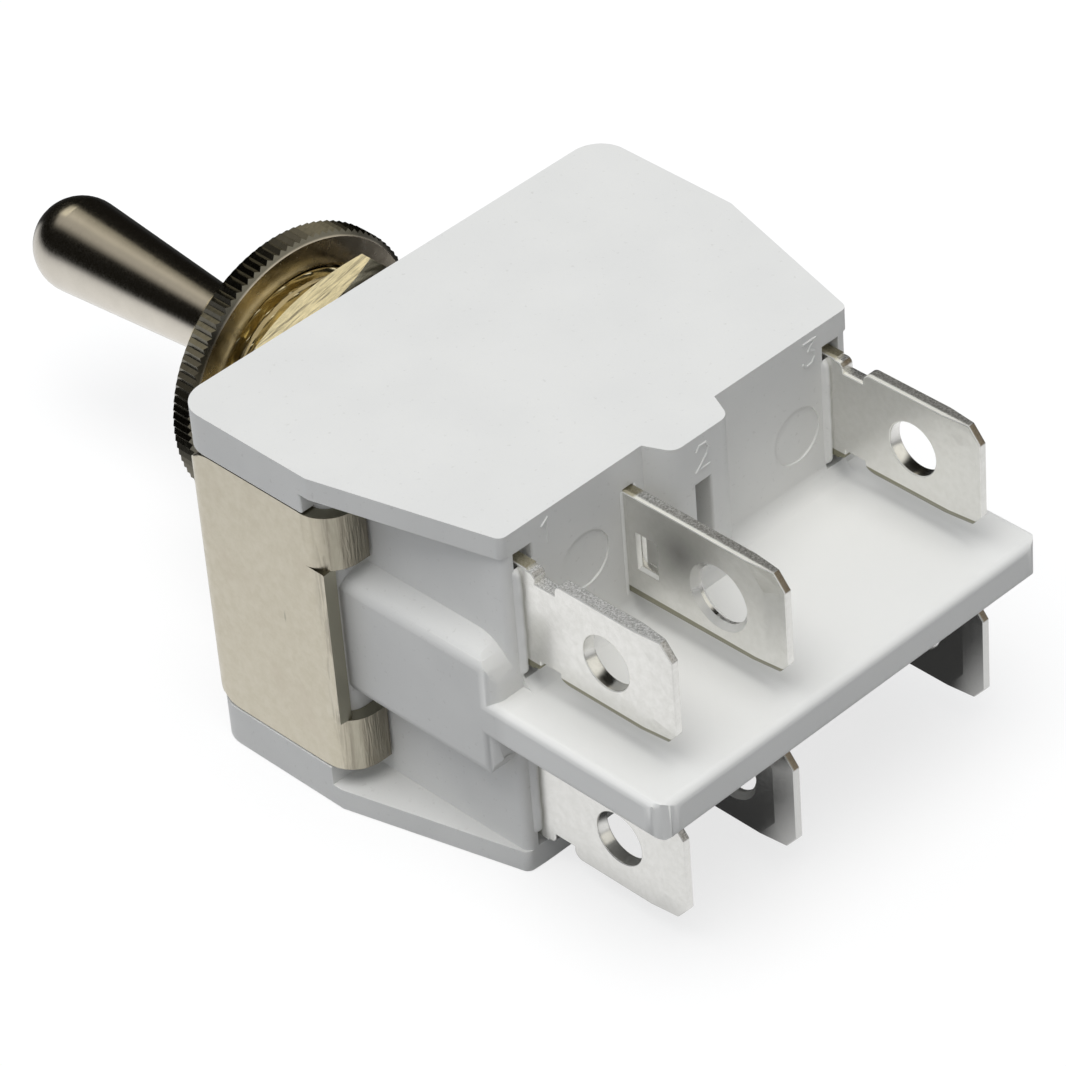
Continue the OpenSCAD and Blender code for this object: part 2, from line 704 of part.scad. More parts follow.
// Side view of one rocker arm, from the trough's end out to its level contact pad
module arm_outline() {
  inner = contact_x - moving_contact - 0.1;
  function ring(a, r) = [r*sin(a), trough_y - r*cos(a)];
  polygon([ring(knee - 1.5, trough + 0.12), ring(knee - 1.5, trough + rocker_sheet - 0.1),
    [inner, pad_low], [rocker_half, pad_low], [rocker_half, pad_low + rocker_sheet],
    [inner + 0.4, pad_low + rocker_sheet], ring(knee, trough) + [0.75, 0.1]]);
}

module rocker() {
  half = rocker_width/2;
  color([0.8, 0.6, 0.32]) translate([0, 0, rocker_z]) {
    along_z(-half, half) trough_outline();
    both_x() difference() {
      along_z(-half, half) arm_outline();
      translate([contact_x, pad_low + 2, 0]) rotate([90, 0, 0])
        cylinder(r = 0.8 + seat_gap, h = 4, $fn = 32);
    }
  }
}

// Rivet on a rocker pad, its crowned head towards the terminals
module moving_contact() {
  color([0.84, 0.84, 0.82]) translate([contact_x, 0, rocker_z]) {
    intersection() {
      translate([0, pad_low - contact_head, 0]) rotate([-90, 0, 0])
        cylinder(r = moving_contact, h = contact_head, $fn = 40);
      translate([0, pad_low - contact_head + contact_crown, 0]) sphere(contact_crown, $fn = 64);
    }
    translate([0, pad_low - eps, 0]) rotate([-90, 0, 0])
      cylinder(r = 0.8, h = rocker_sheet + 2*eps, $fn = 32);
    translate([0, pad_low + rocker_sheet, 0]) rotate([-90, 0, 0])
      cylinder(r = 1.1, h = 0.25, $fn = 32);
  }
}

// Rivet on an outer terminal's foot
module fixed_contact() {
  color([0.84, 0.84, 0.82]) translate([contact_x, 0, rocker_z]) turned()
    polygon([[0, -foot_top - tab_sheet], [0.9, -foot_top - tab_sheet], [0.9, -foot_top],
      [fixed_contact, -foot_top], [fixed_contact, fixed_top - 0.2], [fixed_contact - 0.2, fixed_top],
      [0, fixed_top]]);
}

// Room left by the coined bevel along one edge of a blade that lies about x = 0: the edge goes
// through the point at in Y and Z, and the blade's body lies along +Y before the turn
module coined(at, turn) {
  t = tab_sheet/2;
  b = bevel_tip/2;
  translate([0, at[0], at[1]]) rotate([turn, 0, 0]) linear_extrude(2*far, center = true)
    polygon([[-b, 0], [b, 0], [t, bevel_width], [t, far], [-t, far], [-t, bevel_width]]);
}

// A tab's blade about x = 0, bevelled round its tip and its chamfered corners
module blade(reach) {
  corner = tab_width/2 - chamfer_height;
  lean = atan(chamfer_length/chamfer_height);
  intersection() {
    box([-tab_sheet/2, -reach, pole_z - tab_width/2], [tab_sheet/2, -foot_top, pole_z + tab_width/2]);
    coined([-reach, pole_z], 0);
    coined([-reach, pole_z + corner], -lean);
    coined([-reach, pole_z - corner], lean);
  }
}

// Side outline of an outer terminal in Y and Z, about its own centre line
module outer_side() {
  w = tab_width/2;
  rear = tab_reach - tab_length;
  proud = body_depth + shoulder_proud;
  ledge = proud + ledge_proud;
  difference() {
    union() {
      difference() {
        polygon([[-tab_reach, -w + chamfer_height], [-tab_reach + chamfer_length, -w], [-rear, -w],
          [-rear, w], [-tab_reach + chamfer_length, w], [-tab_reach, w - chamfer_height]]);
        for (s = [-1, 1]) corner_cut([-rear, s*w], [-1, 0], [0, -s], rear_corner);
      }
      translate([-rear - 1, -neck_height/2]) square([rear - proud + 1.2, neck_height]);
      difference() {
        translate([-ledge, -ledge_height/2]) square([ledge - proud + 0.2, ledge_height]);
        for (s = [-1, 1]) corner_cut([-ledge, s*ledge_height/2], [1, 0], [0, -s], ledge_corner);
      }
      translate([-proud, -shoulder_height/2]) square([proud - body_depth + 0.7, shoulder_height]);
      translate([-body_depth, -foot_half]) square([body_depth - foot_top, 2*foot_half]);
    }
    translate([-tab_reach + hole_back, 0]) circle(hole_radius, $fn = 48);
  }
}

module outer_terminal() {
  x = outer_x;
  color([0.86, 0.86, 0.84]) difference() {
    intersection() {
      union() {
        translate([x, 0, 0]) blade(tab_reach);
        along_z(pole_z - foot_half, pole_z + foot_half) translate([contact_x - 1.8, -foot_top - tab_sheet])
          square([x + tab_sheet/2 - contact_x + 1.8, tab_sheet]);
      }
      along_x(0, far) translate([0, pole_z]) outer_side();
    }
    along_z(0, far) corner_cut([x + tab_sheet/2, -foot_top], [-1, 0], [0, -1], 0.7);
    translate([contact_x, -foot_top + 1, rocker_z]) rotate([90, 0, 0])
      cylinder(r = 0.9 + seat_gap, h = 4, $fn = 32);
  }
}

// Side outline of a middle terminal in Y and Z
module middle_side() {
  w = tab_width/2;
  tip = tab_reach + middle_extra;
  difference() {
    union() {
      translate([0, pole_z]) polygon([[-tip, -w + chamfer_height], [-tip + chamfer_length, -w],
        [-foot_top, -w], [-foot_top, w], [-tip + chamfer_length, w], [-tip, w - chamfer_height]]);
      translate([-floor_y, rocker_z - saddle_half]) square([floor_y, 2*saddle_half]);
    }
    translate([-tip + hole_back, pole_z - middle_drop]) circle(middle_hole, $fn = 48);
  }
}

// Outline, in X and along one side, of an opening of half size h through a sheet about x = 0,
// bevelled at both faces
module bevelled(h) {
  t = tab_sheet/2;
  b = window_bevel;
  polygon([[-t - b, -h - 2*b], [-t + b, -h], [t - b, -h], [t + b, -h - 2*b],
    [t + b, h + 2*b], [t - b, h], [-t + b, h], [-t - b, h + 2*b]]);
}

module middle_terminal() {
  x = -middle_offset;
  dish = middle_dish - middle_hole;
  tip = tab_reach + middle_extra;
  window_y = -body_depth - window_back - window_length/2;
  color([0.86, 0.86, 0.84]) difference() {
    intersection() {
      union() {
        translate([x, 0, 0]) blade(tip);
        along_z(rocker_z - saddle_half, rocker_z + saddle_half) {
          translate([x - tab_sheet/2, -foot_top - tab_sheet])
            square([middle_offset + tab_sheet/2 + ridge_radius, tab_sheet]);
          translate([-ridge_radius, -foot_top - tab_sheet])
            square([2*ridge_radius, turn_y + foot_top + tab_sheet]);
          translate([0, turn_y]) circle(ridge_radius, $fn = 40);
          translate([-ridge_radius, turn_y - eps]) square([2*ridge_radius, 1.6]);
        }
      }
      along_x(-far, far) middle_side();
    }
    // Saddle between the two ears, down to the round ridge
    along_z(rocker_z - rocker_width/2 - 0.1, rocker_z + rocker_width/2 + 0.1) difference() {
      translate([-2, turn_y]) square([4, 4]);
      translate([0, turn_y]) circle(ridge_radius, $fn = 40);
    }
    // Dished rim of the hole, on both faces
    for (s = [-1, 1]) translate([x + s*tab_sheet/2, -tip + hole_back, pole_z - middle_drop])
      rotate([0, s*90, 0])
        cylinder(r1 = middle_hole, r2 = middle_hole + 2*dish, h = 2*dish, center = true, $fn = 48);
    // Window
    intersection() {
      along_z(0, half_z) translate([x, window_y]) bevelled(window_length/2);
      along_y(-far, 0) translate([x, pole_z - middle_drop]) bevelled(window_height/2);
    }
  }
}

module plunger_upper() plunger();
module plunger_lower() mirror([0, 0, 1]) plunger();
module spring_upper() spring();
module spring_lower() mirror([0, 0, 1]) spring();
module rocker_upper() rocker();
module rocker_lower() mirror([0, 0, 1]) rocker();
module moving_contact_right_upper() moving_contact();
module moving_contact_left_upper() mirror([1, 0, 0]) moving_contact();
module moving_contact_right_lower() mirror([0, 0, 1]) moving_contact();
module moving_contact_left_lower() mirror([1, 0, 0]) mirror([0, 0, 1]) moving_contact();
module fixed_contact_right_upper() fixed_contact();
module fixed_contact_left_upper() mirror([1, 0, 0]) fixed_contact();
module fixed_contact_right_lower() mirror([0, 0, 1]) fixed_contact();
module fixed_contact_left_lower() mirror([1, 0, 0]) mirror([0, 0, 1]) fixed_contact();
module terminal_right_upper() outer_terminal();
module terminal_left_upper() mirror([1, 0, 0]) outer_terminal();
module terminal_right_lower() mirror([0, 0, 1]) outer_terminal();
module terminal_left_lower() mirror([1, 0, 0]) mirror([0, 0, 1]) outer_terminal();
module terminal_middle_upper() middle_terminal();
module terminal_middle_lower() mirror([0, 0, 1]) middle_terminal();

housing();
bracket();
bushing();
back_nut();
front_nut();
lever();
pivot_pin();
carrier();
plunger_upper();
plunger_lower();
spring_upper();
spring_lower();
rocker_upper();
rocker_lower();
moving_contact_left_upper();
moving_contact_right_upper();
moving_contact_left_lower();
moving_contact_right_lower();
fixed_contact_left_upper();
fixed_contact_right_upper();
fixed_contact_left_lower();
fixed_contact_right_lower();
terminal_left_upper();
terminal_middle_upper();
terminal_right_upper();
terminal_left_lower();
terminal_middle_lower();
terminal_right_lower();
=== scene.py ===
import json
import math

import bmesh
import bpy
import numpy as np
from mathutils import Matrix, Vector
from mathutils.bvhtree import BVHTree

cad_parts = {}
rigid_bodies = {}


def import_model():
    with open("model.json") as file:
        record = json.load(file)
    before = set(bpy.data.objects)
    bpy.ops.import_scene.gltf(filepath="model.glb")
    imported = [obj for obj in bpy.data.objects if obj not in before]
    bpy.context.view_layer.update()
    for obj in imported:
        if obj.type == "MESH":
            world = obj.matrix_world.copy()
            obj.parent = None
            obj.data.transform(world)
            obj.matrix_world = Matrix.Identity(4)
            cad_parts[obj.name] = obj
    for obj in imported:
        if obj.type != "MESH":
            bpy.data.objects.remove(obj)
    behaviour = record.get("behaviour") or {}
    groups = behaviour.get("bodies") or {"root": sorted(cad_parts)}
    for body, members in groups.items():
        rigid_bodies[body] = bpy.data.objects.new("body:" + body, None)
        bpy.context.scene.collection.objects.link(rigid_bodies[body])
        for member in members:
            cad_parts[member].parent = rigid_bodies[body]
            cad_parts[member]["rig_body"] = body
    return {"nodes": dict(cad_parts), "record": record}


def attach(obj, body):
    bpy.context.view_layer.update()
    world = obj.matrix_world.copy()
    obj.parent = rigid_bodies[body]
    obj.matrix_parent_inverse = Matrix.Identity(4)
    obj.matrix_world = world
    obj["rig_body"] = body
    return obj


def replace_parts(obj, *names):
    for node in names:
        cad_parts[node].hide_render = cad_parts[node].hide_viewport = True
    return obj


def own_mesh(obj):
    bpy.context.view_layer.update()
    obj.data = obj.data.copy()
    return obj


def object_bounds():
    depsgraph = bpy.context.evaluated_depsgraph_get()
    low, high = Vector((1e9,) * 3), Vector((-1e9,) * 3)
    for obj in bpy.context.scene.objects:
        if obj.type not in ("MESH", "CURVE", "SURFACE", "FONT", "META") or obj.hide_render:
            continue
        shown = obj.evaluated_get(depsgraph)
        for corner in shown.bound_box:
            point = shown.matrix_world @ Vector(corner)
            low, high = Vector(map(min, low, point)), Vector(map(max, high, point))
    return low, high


# Panel toggle switch on a pale table. Metres, in the frame of the model:
# +Y out along the bushing, +X along the row of tabs, +Z square to the broad face.

mm = 0.001
tabX = {"left": -11 * mm, "middle": -3.68 * mm, "right": 11 * mm}

for leftover in list(bpy.data.objects):
    bpy.data.objects.remove(leftover)
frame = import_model()
nodes = frame["nodes"]
cadBox = [list(corner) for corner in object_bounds()]
print("frame loaded:", len(nodes), "nodes")


# the camera stands at an angle round the object, then slides a little across its view
view = {"azimuth": -41.905, "elevation": 38.469, "roll": -4.828, "distance": 272.66 * mm,
        "target": (0, -18 * mm, 0), "slideRight": 6.112 * mm, "slideUp": -1.914 * mm,
        "lens": 181.64, "sensor": 36, "clip": (0.01, 20)}


def placeCamera():
    az, el, roll = (math.radians(view[k]) for k in ("azimuth", "elevation", "roll"))
    back = Vector((math.sin(az) * math.cos(el), -math.cos(az) * math.cos(el), math.sin(el)))
    right = Vector((0, 0, 1)).cross(back).normalized()
    up = back.cross(right)
    tiltRight = right * math.cos(roll) + up * math.sin(roll)
    tiltUp = up * math.cos(roll) - right * math.sin(roll)
    data = bpy.data.cameras.new("viewCamera")
    data.lens = view["lens"]
    data.sensor_width = view["sensor"]
    data.clip_start, data.clip_end = view["clip"]
    camera = bpy.data.objects.new("viewCamera", data)
    bpy.context.scene.collection.objects.link(camera)
    place = Vector(view["target"]) + back * view["distance"]
    place -= tiltRight * view["slideRight"] + tiltUp * view["slideUp"]
    turn = Matrix((tiltRight, tiltUp, back)).transposed().to_4x4()
    camera.matrix_world = Matrix.Translation(place) @ turn
    bpy.context.scene.camera = camera


placeCamera()
print("camera placed")


# helpers for node materials
def startMaterial(name):
    material = bpy.data.materials.new(name)
    material.use_nodes = True
    tree = material.node_tree
    return material, tree, tree.nodes["Principled BSDF"]


def addNode(tree, kind, settings=None, inputs=None):
    node = tree.nodes.new(kind)
    for key, value in (settings or {}).items():
        setattr(node, key, value)
    for key, value in (inputs or {}).items():
        if isinstance(value, bpy.types.NodeSocket):
            tree.links.new(value, node.inputs[key])
        else:
            node.inputs[key].default_value = value
    return node


def math2(tree, operation, a, b):
    return addNode(tree, "ShaderNodeMath", {"operation": operation}, {0: a, 1: b}).outputs[0]


def times(tree, a, b):
    return math2(tree, "MULTIPLY", a, b)


def absolute(tree, value):
    return math2(tree, "ABSOLUTE", value, 0)


def vectorMath(tree, operation, a, b=(0, 0, 0)):
    # output 0 is a vector, output "Value" a length or a dot product
    return addNode(tree, "ShaderNodeVectorMath", {"operation": operation}, {0: a, 1: b}).outputs


def axes(tree, vector):
    return addNode(tree, "ShaderNodeSeparateXYZ", None, {0: vector}).outputs


def objectPoint(tree):
    return addNode(tree, "ShaderNodeTexCoord").outputs["Object"]


def facingAxes(tree):
    return axes(tree, addNode(tree, "ShaderNodeTexCoord").outputs["Normal"])


def blendColour(tree, factor, a, b):
    return addNode(tree, "ShaderNodeMix", {"data_type": "RGBA"}, {0: factor, 6: a, 7: b}).outputs[2]


def blendValue(tree, factor, a, b):
    return addNode(tree, "ShaderNodeMix", None, {0: factor, 2: a, 3: b}).outputs[0]


def grain(tree, point, size, detail=2.0, rough=0.5, stretch=None, bend=0.0):
    # noise whose lumps are about size metres across, stretched along the axes and bent where asked
    if stretch:
        point = addNode(tree, "ShaderNodeMapping", None, {"Vector": point, "Scale": stretch}).outputs[0]
    return addNode(tree, "ShaderNodeTexNoise", None,
                   {"Vector": point, "Scale": 1 / size, "Detail": detail, "Roughness": rough,
                    "Distortion": bend}).outputs["Fac"]


def ramp(tree, value, low, high, outLow=0.0, outHigh=1.0):
    return addNode(tree, "ShaderNodeMapRange", {"clamp": True},
                   {0: value, 1: low, 2: high, 3: outLow, 4: outHigh}).outputs[0]


def band(tree, value, low, lowIn, highIn, high):
    # 1 from lowIn to highIn, running out to 0 at low and at high
    return times(tree, ramp(tree, value, low, lowIn), ramp(tree, value, high, highIn))


def reachFrom(tree, point, centre, stretch=None):
    # how far a point is from a centre, where asked with the axes stretched first
    away = vectorMath(tree, "SUBTRACT", point, centre)[0]
    if stretch:
        away = vectorMath(tree, "MULTIPLY", away, stretch)[0]
    return vectorMath(tree, "LENGTH", away)["Value"]


def bump(tree, height, strength, distance, under=None):
    inputs = {"Height": height, "Strength": strength, "Distance": distance}
    if under:
        inputs["Normal"] = under
    return addNode(tree, "ShaderNodeBump", None, inputs).outputs[0]


def fineBump(tree, point, finish, rough=0.6):
    # the finest texture of a finish
    return bump(tree, grain(tree, point, finish["texture"], 3, rough), finish["strength"], finish["lift"])


moulded = {"pale": (0.775, 0.772, 0.752, 1), "shade": (0.745, 0.743, 0.726, 1), "cloud": 5 * mm,
           "clouds": (0.35, 0.65), "fleck": (0.52, 0.51, 0.48, 1), "speck": 0.30 * mm,
           "specks": (0.66, 0.76, 0, 0.30), "shelf": (0.835, 0.832, 0.812, 1),
           "shelfY": (-20.6 * mm, -21.4 * mm), "shelfZ": (2.0 * mm, 1.4 * mm),
           "roughness": (0.3, 0.7, 0.42, 0.55), "ior": 1.48, "texture": 0.15 * mm, "lift": 0.012 * mm,
           "strength": 0.6}


def mouldedPlastic():
    # faint clouds and specks; painted light makes the shelf between the rows of tabs a little paler
    material, tree, shader = startMaterial("mouldedPlastic")
    point = objectPoint(tree)
    x, y, z = axes(tree, point)
    cloud = grain(tree, point, moulded["cloud"], 4)
    colour = blendColour(tree, ramp(tree, cloud, *moulded["clouds"]), moulded["pale"], moulded["shade"])
    specks = ramp(tree, grain(tree, point, moulded["speck"], 2), *moulded["specks"])
    colour = blendColour(tree, specks, colour, moulded["fleck"])
    # painted light: the shelf between the rows of tabs is blended towards a paler colour
    shelf = times(tree, ramp(tree, y, *moulded["shelfY"]), ramp(tree, absolute(tree, z), *moulded["shelfZ"]))
    tree.links.new(blendColour(tree, shelf, colour, moulded["shelf"]), shader.inputs["Base Color"])
    tree.links.new(ramp(tree, cloud, *moulded["roughness"]), shader.inputs["Roughness"])
    shader.inputs["IOR"].default_value = moulded["ior"]
    tree.links.new(fineBump(tree, point, moulded), shader.inputs["Normal"])
    return material


sheetSteel = {"bright": (0.57, 0.53, 0.435, 1), "dull": (0.54, 0.50, 0.40, 1), "mottle": 0.45 * mm,
              "patches": (0.36, 0.64), "worn": (0.515, 0.465, 0.375, 1), "smudge": 3.0 * mm,
              "smudges": (0.55, 0.72, 0, 0.6), "cut": (0.34, 0.325, 0.26, 1), "cutFacing": (0.75, 0.9),
              "rearFacing": (-0.7, -0.9), "notch": (10.6 * mm, 10.4 * mm), "bend": (9.3 * mm, 10.2 * mm),
              "stretch": 0.30 * mm, "drawnOut": (1, 1, 0.10), "wander": 0.8, "lines": (0.52, 0.40),
              "lineShare": 0.55, "line": (0.22, 0.20, 0.16, 1), "turned": (-0.35, -0.9, 0, 0.75),
              "scratchAt": (-15.1 * mm, -6.78 * mm, 0.46 * mm), "scratchSlim": (1, 5, 1),
              "scratch": (0.42 * mm, 0.168 * mm, 0, 0.75), "roughness": (0.3, 0.7, 0.28, 0.36),
              "texture": 0.12 * mm, "lift": 0.004 * mm, "strength": 0.5, "stretchLift": 0.10 * mm}


def nickelSheet():
    # satin plating, faintly mottled; its cut edges are darker, and round the hooks' bends the metal
    #     # stretched in fine wavy lines; painted shade darkens the bends where they face the rear, towards
    #     the wall
    material, tree, shader = startMaterial("nickelSheet")
    point = objectPoint(tree)
    mottle = grain(tree, point, sheetSteel["mottle"], 5, 0.65)
    colour = blendColour(tree, ramp(tree, mottle, *sheetSteel["patches"]), sheetSteel["bright"],
                         sheetSteel["dull"])
    smudge = ramp(tree, grain(tree, point, sheetSteel["smudge"], 3), *sheetSteel["smudges"])
    colour = blendColour(tree, smudge, colour, sheetSteel["worn"])
    depth = times(tree, axes(tree, point)[1], -1.0)
    facing = facingAxes(tree)
    rear = times(tree, ramp(tree, facing[1], *sheetSteel["rearFacing"]),
                 ramp(tree, depth, *sheetSteel["notch"]))
    side = ramp(tree, absolute(tree, facing[2]), *sheetSteel["cutFacing"])
    cut = math2(tree, "MAXIMUM", side, rear)
    bent = times(tree, ramp(tree, depth, *sheetSteel["bend"]), math2(tree, "SUBTRACT", 1.0, cut))
    lines = grain(tree, point, sheetSteel["stretch"], 3, 0.55, sheetSteel["drawnOut"], sheetSteel["wander"])
    drawn = times(tree, ramp(tree, lines, *sheetSteel["lines"]), times(tree, bent, sheetSteel["lineShare"]))
    colour = blendColour(tree, drawn, colour, sheetSteel["line"])
    # painted shade: the bends are darkened where they face the rear, towards the wall
    turned = times(tree, ramp(tree, facing[1], *sheetSteel["turned"]), bent)
    colour = blendColour(tree, turned, colour, sheetSteel["line"])
    # one short dark scratch on the plate of the -X side
    near = reachFrom(tree, point, sheetSteel["scratchAt"], sheetSteel["scratchSlim"])
    colour = blendColour(tree, ramp(tree, near, *sheetSteel["scratch"]), colour, sheetSteel["cut"])
    tree.links.new(blendColour(tree, cut, colour, sheetSteel["cut"]), shader.inputs["Base Color"])
    shader.inputs["Metallic"].default_value = 1
    tree.links.new(ramp(tree, mottle, *sheetSteel["roughness"]), shader.inputs["Roughness"])
    wavy = bump(tree, times(tree, lines, bent), 1.0, sheetSteel["stretchLift"],
                fineBump(tree, point, sheetSteel))
    tree.links.new(wavy, shader.inputs["Normal"])
    return material


tin = {"bright": (0.80, 0.795, 0.77, 1), "dull": (0.76, 0.755, 0.725, 1), "mottle": 0.35 * mm,
       "patches": (0.36, 0.64), "roughness": (0.3, 0.7, 0.20, 0.27), "texture": 0.11 * mm,
       "lift": 0.003 * mm, "strength": 0.35,
       "paintedFootShade": (0.27, 0.26, 0.19, 1), "paintedFootShadeZ": (2.99 * mm, 2.93 * mm),
       "shaded": (0.54, 0.54, 0.53, 1), "shadedZ": (0, -1 * mm), "shadedShare": (0.25, 0.75),
       "paintedDarkReflection": (0.25, 0.25, 0.24, 1), "paintedDarkReflectionAt": (-4.08 * mm, -24.2 * mm, 6.8 * mm),
       "paintedDarkReflectionEnd": (3.3 * mm, 0, 0, 0.9),
       "cut": (0.36, 0.355, 0.34, 1), "cutBright": (0.92, 0.92, 0.91, 1), "shear": 0.085 * mm,
       "grains": (0.38, 0.62), "upward": (0.15, 0.45), "edgeOn": (0.45, 0.2),
       "holeFoot": (3.9 * mm, 3.85 * mm), "holeHead": (7.4 * mm, 7.45 * mm),
       "cutRoughness": 0.14, "cutMetal": (0.50, 0.85), "cutLift": 0.045 * mm, "cutStrength": 0.8,
       "coarseSide": (-8 * mm, -6 * mm),
       "bare": (0.17, 0.125, 0.07, 1), "bareFacing": (-0.35, -0.55), "bareShare": (0.30, 0.85),
       "paintedRimHighlight": (0.97, 0.955, 0.88, 1), "paintedRimHighlightX": (-0.10 * mm, -0.20 * mm), "halfWay": (3 * mm, 4 * mm),
       "brass": (0.30, 0.25, 0.10, 1), "brassZ": (8.6 * mm, 8.9 * mm),
       "brassY": (-21.25 * mm, -21.05 * mm),
       "rimSide": (0.25, 0.5, 0.85, 0.97), "rimUpward": (0.1, 0.3), "rimMetal": 0.30}


def tinPlate():
    # broad faces are smooth plated tin; the sheared edges that face up are coarse and grainy, bare brass
    # shows where the corners were cut last, and the rounded rims between are matt and pale
    material, tree, shader = startMaterial("tinPlate")
    point = objectPoint(tree)
    x, y, z = axes(tree, point)
    facing = facingAxes(tree)
    sideways = absolute(tree, facing[0])
    level = absolute(tree, z)
    outline = math2(tree, "MAXIMUM", ramp(tree, level, *tin["holeFoot"]), ramp(tree, level, *tin["holeHead"]))
    upward = times(tree, ramp(tree, facing[2], *tin["upward"]), outline)
    edge = times(tree, upward, ramp(tree, sideways, *tin["edgeOn"]))
    rim = times(tree, band(tree, sideways, *tin["rimSide"]), ramp(tree, facing[2], *tin["rimUpward"]))
    shear = grain(tree, point, tin["shear"], 4, 0.75)
    cut = blendColour(tree, ramp(tree, shear, *tin["grains"]), tin["cut"], tin["cutBright"])
    corner = times(tree, ramp(tree, facing[1], *tin["bareFacing"]),
                   ramp(tree, x, *tin["coarseSide"], *tin["bareShare"]))
    cut = blendColour(tree, corner, cut, tin["bare"])
    # painted highlight: the middle and right tabs get a bright band along the -X half of their upward edges,
    # in place of the highlight on the rounded near rim
    toRight = times(tree, ramp(tree, x, *tin["halfWay"]), tabX["right"] - tabX["middle"])
    local = math2(tree, "SUBTRACT", math2(tree, "ADD", x, -tabX["middle"]), toRight)
    paintedRimHighlight = times(tree, ramp(tree, local, *tin["paintedRimHighlightX"]), ramp(tree, x, *tin["coarseSide"]))
    paintedRimHighlight = times(tree, paintedRimHighlight, math2(tree, "SUBTRACT", 1.0, corner))
    cut = blendColour(tree, paintedRimHighlight, cut, tin["paintedRimHighlight"])
    # brass shows on the shoulders near the wall
    brass = times(tree, ramp(tree, level, *tin["brassZ"]), ramp(tree, y, *tin["brassY"]))
    cut = blendColour(tree, brass, cut, tin["brass"])
    # painted shade: a dark olive line along the foot and darker lower tabs, and a painted dark reflection
    # near the middle upper tab's window
    mottle = grain(tree, point, tin["mottle"], 5, 0.6)
    plated = blendColour(tree, ramp(tree, mottle, *tin["patches"]), tin["bright"], tin["dull"])
    # painted shade along the foot of each tab, where the rolled edge faces the shadowed shelf
    plated = blendColour(tree, ramp(tree, level, *tin["paintedFootShadeZ"]), plated, tin["paintedFootShade"])
    # painted shade: the lower tabs are darkened, the middle and right ones more than the left
    lower = times(tree, ramp(tree, z, *tin["shadedZ"]),
                  ramp(tree, x, *tin["coarseSide"], *tin["shadedShare"]))
    plated = blendColour(tree, lower, plated, tin["shaded"])
    # painted dark reflection: a darker patch near the middle upper tab's window
    paintedDarkReflection = ramp(tree, reachFrom(tree, point, tin["paintedDarkReflectionAt"]), *tin["paintedDarkReflectionEnd"])
    plated = blendColour(tree, paintedDarkReflection, plated, tin["paintedDarkReflection"])
    tree.links.new(blendColour(tree, edge, plated, cut), shader.inputs["Base Color"])
    metal = blendValue(tree, edge, 1.0, ramp(tree, x, *tin["coarseSide"], *tin["cutMetal"]))
    metal = blendValue(tree, rim, metal, tin["rimMetal"])
    metal = blendValue(tree, times(tree, paintedRimHighlight, edge), metal, tin["rimMetal"])
    tree.links.new(metal, shader.inputs["Metallic"])
    rough = math2(tree, "ADD", ramp(tree, mottle, *tin["roughness"]), times(tree, edge, tin["cutRoughness"]))
    tree.links.new(rough, shader.inputs["Roughness"])
    coarse = bump(tree, times(tree, shear, edge), tin["cutStrength"], tin["cutLift"],
                  fineBump(tree, point, tin))
    tree.links.new(coarse, shader.inputs["Normal"])
    return material


lathe = {"streak": 0.15 * mm, "around": (0.25, 1, 0.25), "strength": 0.3, "lift": 0.003 * mm, "shade": 0.88,
         "mottle": 1.2 * mm, "patches": (0.35, 0.65), "gloss": (0.8, 1.2), "wave": 1.0 * mm,
         "waveStretch": (0.35, 2.2, 0.35), "waveLift": 0.0, "rim": None}


def polishedMetal(name, colour, roughness, **changes):
    # plated turned metal: fine streaks that follow the turning, about Y, a little mottling, a slow
    # waviness where it was barrel-plated, and a darker rim outside a radius where one is given
    look = {**lathe, **changes}
    material, tree, shader = startMaterial(name)
    point = objectPoint(tree)
    streaks = grain(tree, point, look["streak"], 2, 0.6, look["around"])
    mottle = grain(tree, point, look["mottle"], 4, 0.6)
    darker = tuple(c * look["shade"] for c in colour)
    mixed = blendColour(tree, ramp(tree, mottle, *look["patches"]), (*colour, 1), (*darker, 1))
    if look["rim"]:
        inner, outer, tone = look["rim"]
        flat = vectorMath(tree, "MULTIPLY", point, (1, 0, 1))[0]
        radius = vectorMath(tree, "LENGTH", flat)["Value"]
        mixed = blendColour(tree, ramp(tree, radius, inner, outer), mixed, (*tone, 1))
    tree.links.new(mixed, shader.inputs["Base Color"])
    shader.inputs["Metallic"].default_value = 1
    gloss = (roughness * share for share in look["gloss"])
    tree.links.new(ramp(tree, streaks, 0.3, 0.7, *gloss), shader.inputs["Roughness"])
    slow = None
    if look["waveLift"]:
        waves = grain(tree, point, look["wave"], 2, 0.5, look["waveStretch"])
        slow = bump(tree, waves, 1.0, look["waveLift"])
    tree.links.new(bump(tree, streaks, look["strength"], look["lift"], slow), shader.inputs["Normal"])
    return material


black = {"dark": (0.018, 0.018, 0.02, 1), "pale": (0.035, 0.035, 0.038, 1), "cloud": 2 * mm,
         "roughness": 0.45, "texture": 0.2 * mm, "strength": 0.4, "lift": 0.008 * mm}


def darkMoulding():
    material, tree, shader = startMaterial("carrierPlastic")
    point = objectPoint(tree)
    colour = blendColour(tree, grain(tree, point, black["cloud"], 3), black["dark"], black["pale"])
    tree.links.new(colour, shader.inputs["Base Color"])
    shader.inputs["Roughness"].default_value = black["roughness"]
    tree.links.new(fineBump(tree, point, black, 0.5), shader.inputs["Normal"])
    return material


